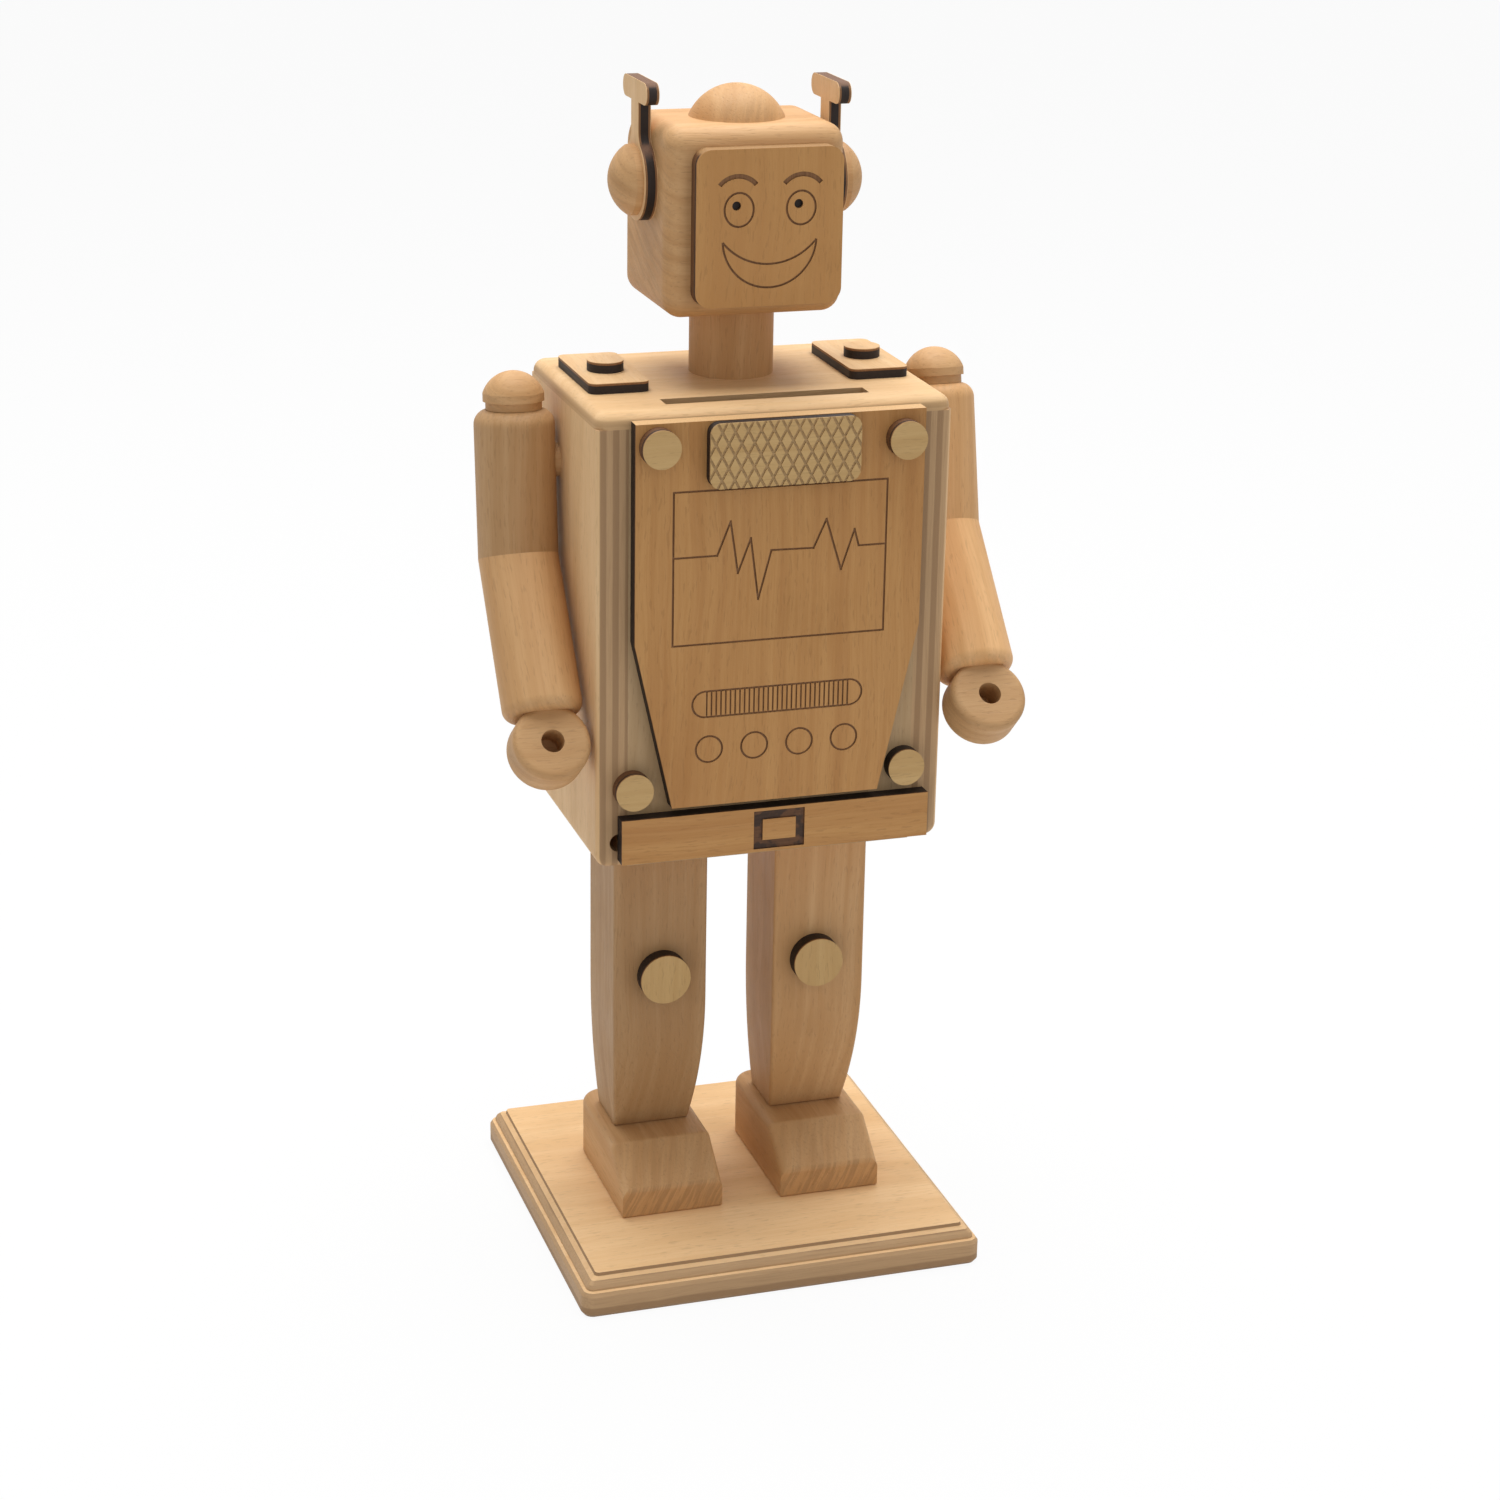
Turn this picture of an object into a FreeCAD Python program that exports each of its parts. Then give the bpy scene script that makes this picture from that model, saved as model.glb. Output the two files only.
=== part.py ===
"""A wooden robot money box: a plywood chest with a money slot, on two legs and a moulded base.

Millimetres, +Z up. The origin is the middle of the underside of the base, and the front looks along -Y.
Left is -X and right is +X, as seen by someone who faces the front.
"""
import FreeCAD
import Part
import math
import os

V = FreeCAD.Vector
X_AXIS = V(1, 0, 0)
Y_AXIS = V(0, 1, 0)
Z_AXIS = V(0, 0, 1)

# Base plate
BASE_W = 102.0
BASE_D = 100.0
BASE_H = 10.0
BASE_CORNER_R = 3.0
BASE_LEAST_R = 1.0
# Moulded edge from the underside up to the top face: how far in from the edge, and how high
BASE_EDGE = [(0.8, 0.0), (0.0, 1.0), (0.0, 5.5), (0.6, 6.4), (1.4, 6.6), (1.4, 7.1), (1.8, 7.9), (2.6, 8.7),
             (3.8, 9.2), (4.0, 10.0)]

# Feet and legs
LEG_X = 20.6
FOOT_W = 25.8
FOOT_FRONT = -21.5
FOOT_BACK = 22.0
FOOT_H = 15.5
TOE_H = 7.2
TOE_SLOPE = 11.0
HEEL_R = 6.0
FOOT_EASE = 1.8
CONTACT_EASE = 0.4
LEG_TOP_W = 23.8
LEG_ANKLE_W = 19.3
LEG_FRONT = -9.0
LEG_ANKLE_FRONT = -1.5
LEG_BACK = 14.0
KNEE_Z = 62.0
KNEE_DISC_X = 19.8
KNEE_DISC_Z = 69.6
KNEE_DISC_SHIFT = -0.5
KNEE_DISC_D = 12.6
KNEE_DISC_T = 4.0
WOOD_EASE = 0.8

# Chest
CHEST_W = 85.2
CHEST_FRONT = -30.0
CHEST_BACK = 31.0
CHEST_BOTTOM = 108.0
CHEST_TOP = 217.0
SIDE_T = 7.5
TOP_T = 3.5
BOARD_T = 4.0
FLOOR_T = 7.0
CHEST_EDGE_R = 1.5
CHEST_BOTTOM_R = 3.0
TOP_CORNER_R = 3.2
TOP_ROUND = 2.8
SLOT_L = 49.0
SLOT_W = 5.0
SLOT_Y = -20.5

# Laser-cut trim on the chest
PLATE_T = 4.0
PLATE_W = 69.2
PLATE_FOOT_W = 50.8
PLATE_TAPER_Z = 163.5
PLATE_BOTTOM = 122.9
PLATE_TOP = 215.4
BELT_LEFT = -37.5
BELT_RIGHT = 38.5
BELT_BOTTOM = 109.8
BELT_TOP = 120.8
BUCKLE_X = 1.1
BUCKLE_W = 12.6
BUCKLE_H = 9.6
BUCKLE_BAND = 2.2
CHEST_DISC_D = 9.0
CHEST_DISC_T = 3.5
UPPER_DISC_X = 29.4
UPPER_DISC_Z = 208.8
UPPER_LEFT_RISE = 1.4
LOWER_DISC_X = 33.6
LOWER_DISC_SHIFT = -0.6
LOWER_DISC_Z = 127.4
GRILLE_W = 36.0
GRILLE_H = 15.2
GRILLE_T = 3.0
GRILLE_Z = 207.7
GRILLE_R = 2.6
GRILLE_PITCH = 3.05
GRILLE_ROW = 2.8
GRILLE_GROOVE_W = 0.6
GRILLE_GROOVE_DEPTH = 0.3
PEG_HOLE_X = -37.2
PEG_HOLE_Z = 114.0
PEG_HOLE_D = 4.4
PEG_HOLE_DEPTH = 9.0

# Engraved lines
LINE_W = 0.5
LINE_DEPTH = 0.4
SCREEN_W = 51.3
SCREEN_BOTTOM = 162.7
SCREEN_TOP = 199.2
PULSE_Z = 183.7
PULSE = [(-25.65, 0), (-15.2, 0), (-12.1, 7.9), (-10.2, -4.5), (-7.2, 3.6), (-5.2, -11.1), (-2.2, 0.4),
         (8.0, 0.2), (11.0, 6.9), (14.8, -5.4), (17.9, 4.0), (19.0, 0), (25.65, 0)]
VENT_Z = 148.0
VENT_W = 41.5
VENT_H = 6.3
VENT_PITCH = 1.15
VENT_BAR_W = 0.4
DIAL_Z = 136.9
DIAL_PITCH = 11.06
DIAL_D = 6.4

# Shoulder plates on the top of the chest
SHOULDER_X = 31.7
SHOULDER_W = 14.4
SHOULDER_FRONT = -10.5
SHOULDER_BACK = 20.5
TRIM_T = 2.5
SHOULDER_R = 2.0
SHOULDER_DISC_D = 8.6
SHOULDER_DISC_Y = 3.0

# Neck and head
HEAD_W = 42.8
HEAD_FRONT = -12.5
HEAD_BACK = 25.0
HEAD_BOTTOM = 233.6
HEAD_TOP = 277.2
HEAD_R = 4.5
HEAD_BACK_R = 9.0
NECK_D = 20.0
NECK_SPIGOT_D = 12.0
NECK_SPIGOT_UP = 14.0
NECK_GAP = 0.3
FACE_X = 1.7
FACE_W = 35.0
FACE_BOTTOM = 237.0
FACE_TOP = 273.0
FACE_T = 4.0
FACE_R = 3.6
EYE_X = 7.4
EYE_Z = 259.3
EYE_W = 6.9
EYE_H = 7.7
PUPIL_D = 2.1
PUPIL_DEPTH = 0.9
PUPIL_DX = -0.6
PUPIL_DZ = 0.9
BROW_X = 7.7
BROW_Z = 266.9
BROW_HALF = 4.35
BROW_RISE = 2.0
BROW_W = 1.1
MOUTH_Z = 252.0
MOUTH_HALF = 11.2
MOUTH_UPPER_SAG = 5.3
MOUTH_LOWER_SAG = 10.7
DOME_D = 22.4
DOME_H = 7.4
EAR_Y = 4.5
DOME_Y = 4.5
EAR_Z = 263.3
EAR_D = 16.2
EAR_RIM = 1.6
EAR_T = 6.1
RIGHT_EAR_DROP = 1.0
EAR_PEG_D = 6.0
EAR_PEG_L = 10.0
AERIAL_BASE_D = 18.6
AERIAL_STALK_W = 5.9
AERIAL_BAR_L = 20.0
AERIAL_BAR_H = 5.0
AERIAL_TOP = 286.3
AERIAL_T = 3.0
AERIAL_FLARE_R = 4.0

# Arms
ARM_X = 52.7
ARM_D = 19.0
SHOULDER_Y = 5.7
SHOULDER_Z = 198.0
LEFT_SWING = 5.5
RIGHT_SWING = 12.5
ELBOW_BEND = 31.0
ARM_ABOVE = 12.6
UPPER_ARM_L = 22.5
ARM_TOP_R = 3.6
FOREARM_L = 40.0
FOREARM_END_R = 2.6
CAP_D = 14.4
CAP_STEM_D = 13.2
CAP_STEM_H = 1.9
CAP_H = 7.0
CAP_PEG_D = 7.0
CAP_PEG_L = 7.0
HAND_D = 18.5
HAND_T = 10.5
HAND_R = 1.8
HAND_CHORD = 7.5
HAND_BORE_D = 5.5
HAND_BORE_L = 8.0
PIVOT_D = 8.0
PIVOT_IN_ARM = 11.0
ARM_DOWEL_D = 6.0
ELBOW_DOWEL_L = 14.0
WRIST_DOWEL_D = 5.0
WRIST_DOWEL_L = 12.0
WRIST_IN_HAND = 4.0

# Dowels, screws and the money bung
GLUE_FIT = 0.1
RUNNING_FIT = 0.08
LEG_DOWEL_D = 8.0
LEG_DOWEL_L = 19.0
SCREW_D = 3.8
SCREW_HEAD_D = 7.6
SCREW_HEAD_H = 2.2
SCREW_SINK = 0.6
SCREW_TIP_Z = 38.0
SCREW_YS = (1.5, 11.5)
BUNG_Z = 150.0
BUNG_D = 34.0
BUNG_FLANGE_D = 39.0
BUNG_FLANGE_T = 2.6
BUNG_L = 8.0
BUNG_CUP_D = 26.0
BUNG_CUP_DEPTH = 5.0
BUNG_GRIP_D = 18.0
BUNG_GRIP_DEPTH = 1.0

SIDES = {"left": -1, "right": 1}
PLATE_FRONT = CHEST_FRONT - PLATE_T
INNER_HALF = CHEST_W / 2 - SIDE_T
LID_Z = CHEST_TOP - TOP_T
FOOT_TOP = BASE_H + FOOT_H
HEAD_Y = (HEAD_FRONT + HEAD_BACK) / 2
CUT = 1.0


def block(x0, x1, y0, y1, z0, z1):
    """A box between two corners."""
    return Part.makeBox(x1 - x0, y1 - y0, z1 - z0, V(x0, y0, z0))


def rod(start, direction, diameter, length):
    """A round rod from a point along a direction."""
    return Part.makeCylinder(diameter / 2, length, start, direction)


def edges_where(shape, test):
    """The straight edges whose two ends pass a test."""
    straight = [e for e in shape.Edges if len(e.Vertexes) == 2 and isinstance(e.Curve, Part.Line)]
    return [e for e in straight if test(e.Vertexes[0].Point, e.Vertexes[1].Point)]


def upright(p, q):
    """True for the two ends of an edge that runs along Z."""
    return abs(p.x - q.x) < 1e-6 and abs(p.y - q.y) < 1e-6


def along_y(p, q):
    """True for the two ends of an edge that runs along Y."""
    return abs(p.x - q.x) < 1e-6 and abs(p.z - q.z) < 1e-6


def outline_face(edges):
    """A flat face inside a closed chain of edges."""
    return Part.Face(Part.Wire(Part.__sortEdges__(edges)))


def polygon_prism(points, direction):
    """A prism over a closed polygon."""
    return Part.Face(Part.makePolygon(points + [points[0]])).extrude(direction)


def lathe(profile, base, axis):
    """A turned solid. The profile is (radius, height) from the axis, in order, and closes on the axis."""
    rotation = FreeCAD.Rotation(Z_AXIS, axis)
    points = [V(r, 0, h) for r, h in profile]
    solid = Part.Face(Part.makePolygon(points + [points[0]])).revolve(V(0, 0, 0), Z_AXIS, 360)
    solid.Placement = FreeCAD.Placement(base, rotation)
    return solid


def turned_dome(face):
    """Revolve a face that lies in the XZ plane, with its axis on Z, into a solid."""
    return face.revolve(V(0, 0, 0), Z_AXIS, 360)


def rounded_outline(inset, z):
    """The level outline of the base, drawn in from its edge and with round corners."""
    half_x = BASE_W / 2 - inset
    half_y = BASE_D / 2 - inset
    slab = block(-half_x, half_x, -half_y, half_y, z, z + CUT)
    slab = slab.makeFillet(max(BASE_LEAST_R, BASE_CORNER_R - inset), edges_where(slab, upright))
    return [f for f in slab.Faces if abs(f.CenterOfMass.z - z) < 1e-6][0].OuterWire


def base_plate():
    """A square plate with a moulded edge: an eased side, a ledge, a hollow and a step up to the top."""
    plate = Part.makeLoft([rounded_outline(inset, z) for inset, z in BASE_EDGE], True, True)
    for side in SIDES.values():
        for y in SCREW_YS:
            plate = plate.cut(screw_hole(side * LEG_X, y))
    return plate


def screw(x, y):
    """A countersunk wood screw, driven up from below."""
    radius = SCREW_D / 2
    profile = [(0, SCREW_SINK), (SCREW_HEAD_D / 2, SCREW_SINK), (radius, SCREW_SINK + SCREW_HEAD_H),
               (radius, SCREW_TIP_Z - 2 * SCREW_D), (0, SCREW_TIP_Z)]
    return lathe(profile, V(x, y, 0), Z_AXIS)


def screw_hole(x, y):
    """The hole for a screw, with its countersink open below."""
    radius = (SCREW_D + GLUE_FIT) / 2
    head = SCREW_HEAD_D / 2 + GLUE_FIT
    profile = [(0, -CUT), (head, -CUT), (head, SCREW_SINK), (radius, SCREW_SINK + SCREW_HEAD_H),
               (radius, SCREW_TIP_Z + GLUE_FIT), (0, SCREW_TIP_Z + GLUE_FIT)]
    return lathe(profile, V(x, y, 0), Z_AXIS)


def foot(side):
    """A shoe block with a sloping toe, and round corners at the heel."""
    left = side * LEG_X - FOOT_W / 2
    profile = [(FOOT_BACK, BASE_H), (FOOT_BACK, FOOT_TOP), (FOOT_FRONT + TOE_SLOPE, FOOT_TOP),
               (FOOT_FRONT, BASE_H + TOE_H), (FOOT_FRONT, BASE_H)]
    shoe = polygon_prism([V(left, y, z) for y, z in profile], V(FOOT_W, 0, 0))
    shoe = shoe.makeFillet(HEEL_R, edges_where(shoe, lambda p, q: upright(p, q) and p.y > FOOT_BACK - 1))
    top = [e for e in shoe.Edges if all(v.Z > BASE_H + TOE_H - CUT for v in e.Vertexes)]
    shoe = shoe.makeFillet(FOOT_EASE, top)
    shoe = shoe.makeChamfer(CONTACT_EASE, edges_where(shoe, lambda p, q: max(p.z, q.z) < BASE_H + 1e-6))
    for y in SCREW_YS:
        shoe = shoe.cut(screw_hole(side * LEG_X, y))
    return shoe


def leg(side):
    """A square post that is sawn in a curve on its front and its sides, from the knee down to the ankle."""
    half_top = LEG_TOP_W / 2
    half_ankle = LEG_ANKLE_W / 2
    mid_z = (KNEE_Z + FOOT_TOP) / 2

    def sawn(wide, narrow):
        return wide + (narrow - wide) / 4

    def flank(sign):
        points = [V(sign * half_top, 0, KNEE_Z), V(sign * sawn(half_top, half_ankle), 0, mid_z),
                  V(sign * half_ankle, 0, FOOT_TOP)]
        return [Part.makeLine(V(sign * half_top, 0, CHEST_BOTTOM), points[0]), Part.Arc(*points).toShape()]

    front = flank(-1) + flank(1)
    front.append(Part.makeLine(V(-half_top, 0, CHEST_BOTTOM), V(half_top, 0, CHEST_BOTTOM)))
    front.append(Part.makeLine(V(-half_ankle, 0, FOOT_TOP), V(half_ankle, 0, FOOT_TOP)))
    post = outline_face(front).extrude(V(0, LEG_BACK - LEG_FRONT, 0))
    post.translate(V(0, LEG_FRONT, 0))

    shin = [V(0, LEG_FRONT, KNEE_Z), V(0, sawn(LEG_FRONT, LEG_ANKLE_FRONT), mid_z),
            V(0, LEG_ANKLE_FRONT, FOOT_TOP)]
    profile = [Part.Arc(*shin).toShape(), Part.makeLine(shin[0], V(0, LEG_FRONT, CHEST_BOTTOM)),
               Part.makeLine(V(0, LEG_FRONT, CHEST_BOTTOM), V(0, LEG_BACK, CHEST_BOTTOM)),
               Part.makeLine(V(0, LEG_BACK, CHEST_BOTTOM), V(0, LEG_BACK, FOOT_TOP)),
               Part.makeLine(V(0, LEG_BACK, FOOT_TOP), shin[2])]
    sweep = outline_face(profile).extrude(V(LEG_TOP_W, 0, 0))
    sweep.translate(V(-half_top, 0, 0))
    post = post.common(sweep)
    post = post.makeChamfer(CONTACT_EASE, edges_where(post, lambda p, q: max(p.z, q.z) < FOOT_TOP + 1e-6))
    upper_edges = edges_where(post, lambda p, q: upright(p, q) and max(p.z, q.z) > KNEE_Z + CUT)
    post = post.makeFillet(WOOD_EASE, upper_edges)
    post.translate(V(side * LEG_X, 0, 0))
    post = post.cut(leg_dowel(side, GLUE_FIT))
    for y in SCREW_YS:
        post = post.cut(screw_hole(side * LEG_X, y))
    return post


def leg_dowel(side, play=0.0):
    """A dowel that joins the top of a leg to the floor of the chest."""
    y = (LEG_FRONT + LEG_BACK) / 2
    top = CHEST_BOTTOM + FLOOR_T
    return rod(V(side * LEG_X, y, top - LEG_DOWEL_L - play), Z_AXIS, LEG_DOWEL_D + play, LEG_DOWEL_L + play)


def disc(x, z, back_y, diameter, thickness):
    """A flat round disc that lies against an upright face."""
    return rod(V(x, back_y, z), V(0, -1, 0), diameter, thickness)


def side_panel(side):
    """A plywood side of the chest, with its outer edges eased and its lower edge rounded."""
    outer = side * CHEST_W / 2
    inner = side * INNER_HALF
    panel = block(min(outer, inner), max(outer, inner), CHEST_FRONT, CHEST_BACK, CHEST_BOTTOM, LID_Z)

    def lower_outer(p, q):
        return along_y(p, q) and abs(p.x - outer) < 1e-6 and p.z < CHEST_BOTTOM + CUT

    panel = panel.makeFillet(CHEST_BOTTOM_R, edges_where(panel, lower_outer))
    corners = edges_where(panel, lambda p, q: upright(p, q) and abs(p.x - outer) < 1e-6)
    panel = panel.makeFillet(CHEST_EDGE_R, corners)
    panel = panel.cut(shoulder_pivot(side, GLUE_FIT))
    if side < 0:
        hole = rod(V(PEG_HOLE_X, CHEST_FRONT - CUT, PEG_HOLE_Z), Y_AXIS, PEG_HOLE_D, PEG_HOLE_DEPTH + CUT)
        panel = panel.cut(hole)
    return panel


def top_panel():
    """The lid board, with a rounded edge all round, the money slot and the hole for the neck."""
    half = CHEST_W / 2
    lid = block(-half, half, CHEST_FRONT, CHEST_BACK, LID_Z, CHEST_TOP)
    lid = lid.makeFillet(TOP_CORNER_R, edges_where(lid, upright))
    rim = [e for e in lid.Edges if all(abs(v.Z - CHEST_TOP) < 1e-6 for v in e.Vertexes)]
    lid = lid.makeFillet(TOP_ROUND, rim)
    slot = block(-SLOT_L / 2, SLOT_L / 2, SLOT_Y - SLOT_W / 2, SLOT_Y + SLOT_W / 2,
                 LID_Z - CUT, CHEST_TOP + CUT)
    lid = lid.cut(slot)
    return lid.cut(rod(V(0, HEAD_Y, LID_Z - CUT), Z_AXIS, NECK_SPIGOT_D + GLUE_FIT, TOP_T + 2 * CUT))


def floor_panel():
    """The bottom of the money chest, between the other boards."""
    floor = block(-INNER_HALF, INNER_HALF, CHEST_FRONT + BOARD_T, CHEST_BACK - BOARD_T,
                  CHEST_BOTTOM, CHEST_BOTTOM + FLOOR_T)
    for side in SIDES.values():
        floor = floor.cut(leg_dowel(side, GLUE_FIT))
    return floor


def back_panel():
    """The back of the chest, with the round hole that the money comes out of."""
    board = block(-INNER_HALF, INNER_HALF, CHEST_BACK - BOARD_T, CHEST_BACK, CHEST_BOTTOM, LID_Z)
    return board.cut(rod(V(0, CHEST_BACK - BOARD_T - CUT, BUNG_Z), Y_AXIS, BUNG_D, BOARD_T + 2 * CUT))


def inner_front_board():
    """The plain board behind the front plate."""
    return block(-INNER_HALF, INNER_HALF, CHEST_FRONT, CHEST_FRONT + BOARD_T, CHEST_BOTTOM, LID_Z)


def groove(p, q, width, depth, front_y):
    """A straight engraved line between two points (x, z) of an upright face."""
    dx = q[0] - p[0]
    dz = q[1] - p[1]
    length = math.hypot(dx, dz)
    cutter = block(-width / 2, length + width / 2, front_y - CUT, front_y + depth, -width / 2, width / 2)
    cutter.rotate(V(0, 0, 0), Y_AXIS, -math.degrees(math.atan2(dz, dx)))
    cutter.translate(V(p[0], 0, p[1]))
    return cutter


def ring_groove(x, z, diameter, width, depth, front_y):
    """A round engraved line."""
    start = V(x, front_y - CUT, z)
    outer = rod(start, Y_AXIS, diameter + width, depth + CUT)
    return outer.cut(rod(start, Y_AXIS, diameter - width, depth + CUT))


def arc_groove(x, z, half_chord, sagitta, width, depth, front_y):
    """An engraved arc between two level ends. Its middle is above them, or below for a negative sagitta."""
    rise = abs(sagitta)
    sign = 1 if sagitta > 0 else -1
    radius = (half_chord ** 2 + rise ** 2) / (2 * rise)
    centre_z = z + sign * (rise - radius)
    sweep = 2 * math.degrees(math.asin(min(1.0, half_chord / radius)))
    if rise > radius:
        sweep = 360 - sweep
    section = block(-width / 2, width / 2, front_y - CUT, front_y + depth, 0, CUT)
    face = [f for f in section.Faces if abs(f.CenterOfMass.z) < 1e-6][0]
    face.translate(V(radius, 0, 0))
    arc = face.revolve(V(0, 0, 0), Y_AXIS, -sweep)
    arc.rotate(V(0, 0, 0), Y_AXIS, -sign * 90 + sweep / 2)
    arc.translate(V(x, 0, centre_z))
    return arc


def ellipse_prism(x, z, width, height, front_y, depth):
    """An upright oval plug, for oval engraved lines."""
    centre = V(x, front_y - CUT, z)
    curve = Part.Ellipse(centre + V(0, 0, height / 2), centre + V(width / 2, 0, 0), centre)
    return outline_face([curve.toShape()]).extrude(V(0, depth + CUT, 0))


def front_plate():
    """The laser-cut front of the chest, with its screen, pulse line, vent and dials engraved."""
    half = PLATE_W / 2
    foot_half = PLATE_FOOT_W / 2
    outline = [(-half, PLATE_TOP), (-half, PLATE_TAPER_Z), (-foot_half, PLATE_BOTTOM),
               (foot_half, PLATE_BOTTOM), (half, PLATE_TAPER_Z), (half, PLATE_TOP)]
    plate = polygon_prism([V(x, PLATE_FRONT, z) for x, z in outline], V(0, PLATE_T, 0))
    corners = [(-SCREEN_W / 2, SCREEN_BOTTOM), (SCREEN_W / 2, SCREEN_BOTTOM),
               (SCREEN_W / 2, SCREEN_TOP), (-SCREEN_W / 2, SCREEN_TOP)]
    lines = [groove(corners[i], corners[(i + 1) % 4], LINE_W, LINE_DEPTH, PLATE_FRONT) for i in range(4)]
    pulse = [(x, PULSE_Z + dz) for x, dz in PULSE]
    lines += [groove(p, q, LINE_W, LINE_DEPTH, PLATE_FRONT) for p, q in zip(pulse, pulse[1:])]
    for i in range(4):
        lines.append(ring_groove((i - 1.5) * DIAL_PITCH, DIAL_Z, DIAL_D, LINE_W, LINE_DEPTH, PLATE_FRONT))
    return plate.cut(lines + vent_lines())


def vent_lines():
    """A long round-ended outline, filled with upright bars."""
    straight = (VENT_W - VENT_H) / 2
    cutters = []
    for sign in (-1, 1):
        level = VENT_Z + sign * VENT_H / 2
        cutters.append(groove((-straight, level), (straight, level), LINE_W, LINE_DEPTH, PLATE_FRONT))
        cap = ring_groove(sign * straight, VENT_Z, VENT_H, LINE_W, LINE_DEPTH, PLATE_FRONT)
        reach = sign * (straight + VENT_H)
        outside = block(min(sign * straight, reach), max(sign * straight, reach), PLATE_FRONT - CUT,
                        CHEST_FRONT, VENT_Z - VENT_H, VENT_Z + VENT_H)
        cutters.append(cap.common(outside))
    count = int(2 * straight / VENT_PITCH)
    for i in range(count + 1):
        x = (i - count / 2) * VENT_PITCH
        bar = [(x, VENT_Z - VENT_H / 2), (x, VENT_Z + VENT_H / 2)]
        cutters.append(groove(bar[0], bar[1], VENT_BAR_W, LINE_DEPTH, PLATE_FRONT))
    return cutters


def belt():
    """The strip across the bottom of the chest, with a square buckle burnt into it."""
    strip = block(BELT_LEFT, BELT_RIGHT, PLATE_FRONT, CHEST_FRONT, BELT_BOTTOM, BELT_TOP)
    middle = (BELT_BOTTOM + BELT_TOP) / 2

    def plug(inset):
        return block(BUCKLE_X - BUCKLE_W / 2 + inset, BUCKLE_X + BUCKLE_W / 2 - inset, PLATE_FRONT - CUT,
                     PLATE_FRONT + LINE_DEPTH, middle - BUCKLE_H / 2 + inset, middle + BUCKLE_H / 2 - inset)

    return strip.cut(plug(0).cut(plug(BUCKLE_BAND)))


def speaker_grille():
    """A small plate with round corners, crossed by two sets of slanting grooves that leave diamonds."""
    front = PLATE_FRONT - GRILLE_T
    low = GRILLE_Z - GRILLE_H / 2
    high = GRILLE_Z + GRILLE_H / 2
    plate = block(-GRILLE_W / 2, GRILLE_W / 2, front, PLATE_FRONT, low, high)
    corners = edges_where(plate, lambda p, q: abs(p.x - q.x) < 1e-6 and abs(p.z - q.z) < 1e-6)
    plate = plate.makeFillet(GRILLE_R, corners)
    lean = GRILLE_H / GRILLE_ROW * GRILLE_PITCH / 2
    count = int((GRILLE_W + lean) / GRILLE_PITCH / 2) + 1
    cutters = []
    for i in range(-count, count + 1):
        x = i * GRILLE_PITCH
        for sign in (-1, 1):
            ends = [(x - sign * lean / 2, low), (x + sign * lean / 2, high)]
            cutters.append(groove(ends[0], ends[1], GRILLE_GROOVE_W, GRILLE_GROOVE_DEPTH, front))
    return plate.cut(cutters)


def shoulder_plate(side):
    """A flat plate with round corners on the top of the chest."""
    plate = block(side * SHOULDER_X - SHOULDER_W / 2, side * SHOULDER_X + SHOULDER_W / 2,
                  SHOULDER_FRONT, SHOULDER_BACK, CHEST_TOP, CHEST_TOP + TRIM_T)
    return plate.makeFillet(SHOULDER_R, edges_where(plate, upright))


def shoulder_disc(side):
    """A round disc on a shoulder plate."""
    return rod(V(side * SHOULDER_X, SHOULDER_DISC_Y, CHEST_TOP + TRIM_T), Z_AXIS, SHOULDER_DISC_D, TRIM_T)


def neck_post():
    """A turned neck: glued into the lid below, and a spigot above that the head turns on."""
    wide = NECK_D / 2
    thin = NECK_SPIGOT_D / 2
    shoulder = HEAD_BOTTOM - NECK_GAP
    profile = [(0, LID_Z), (thin, LID_Z), (thin, CHEST_TOP), (wide, CHEST_TOP), (wide, shoulder),
               (thin, shoulder), (thin, HEAD_BOTTOM + NECK_SPIGOT_UP), (0, HEAD_BOTTOM + NECK_SPIGOT_UP)]
    return lathe(profile, V(0, HEAD_Y, 0), Z_AXIS)


def ear_drop(side):
    """How much lower the right ear and its aerial sit."""
    return RIGHT_EAR_DROP if side > 0 else 0


def along_crown(p, q):
    """Whether an edge is one of the two where the crown's large rounding runs out into the faces."""
    level = abs(p.y - q.y) < 1e-6 and abs(p.z - q.z) < 1e-6
    on_top = p.z > HEAD_TOP - 1e-6 and abs(p.y - (HEAD_BACK - HEAD_BACK_R)) < 1e-6
    on_back = p.y > HEAD_BACK - 1e-6 and abs(p.z - (HEAD_TOP - HEAD_BACK_R)) < 1e-6
    return level and (on_top or on_back)


def head_block():
    """The head: a block with all its edges rounded, bored for the neck and the two ear pegs."""
    head = block(-HEAD_W / 2, HEAD_W / 2, HEAD_FRONT, HEAD_BACK, HEAD_BOTTOM, HEAD_TOP)
    back = HEAD_BACK - 1e-6
    top = HEAD_TOP - 1e-6
    crown = edges_where(head, lambda p, q: min(p.y, q.y) > back and min(p.z, q.z) > top)
    head = head.makeFillet(HEAD_BACK_R, crown)
    head = head.makeFillet(HEAD_R, edges_where(head, lambda p, q: not along_crown(p, q)))
    bore = NECK_SPIGOT_D + 2 * RUNNING_FIT
    head = head.cut(rod(V(0, HEAD_Y, HEAD_BOTTOM - CUT), Z_AXIS, bore, NECK_SPIGOT_UP + CUT + NECK_GAP))
    for side in SIDES.values():
        depth = EAR_PEG_L - AERIAL_T + GLUE_FIT
        start = V(side * (HEAD_W / 2 - depth), EAR_Y, EAR_Z - ear_drop(side))
        head = head.cut(rod(start, V(side, 0, 0), EAR_PEG_D + GLUE_FIT, depth + CUT))
    return head


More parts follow.
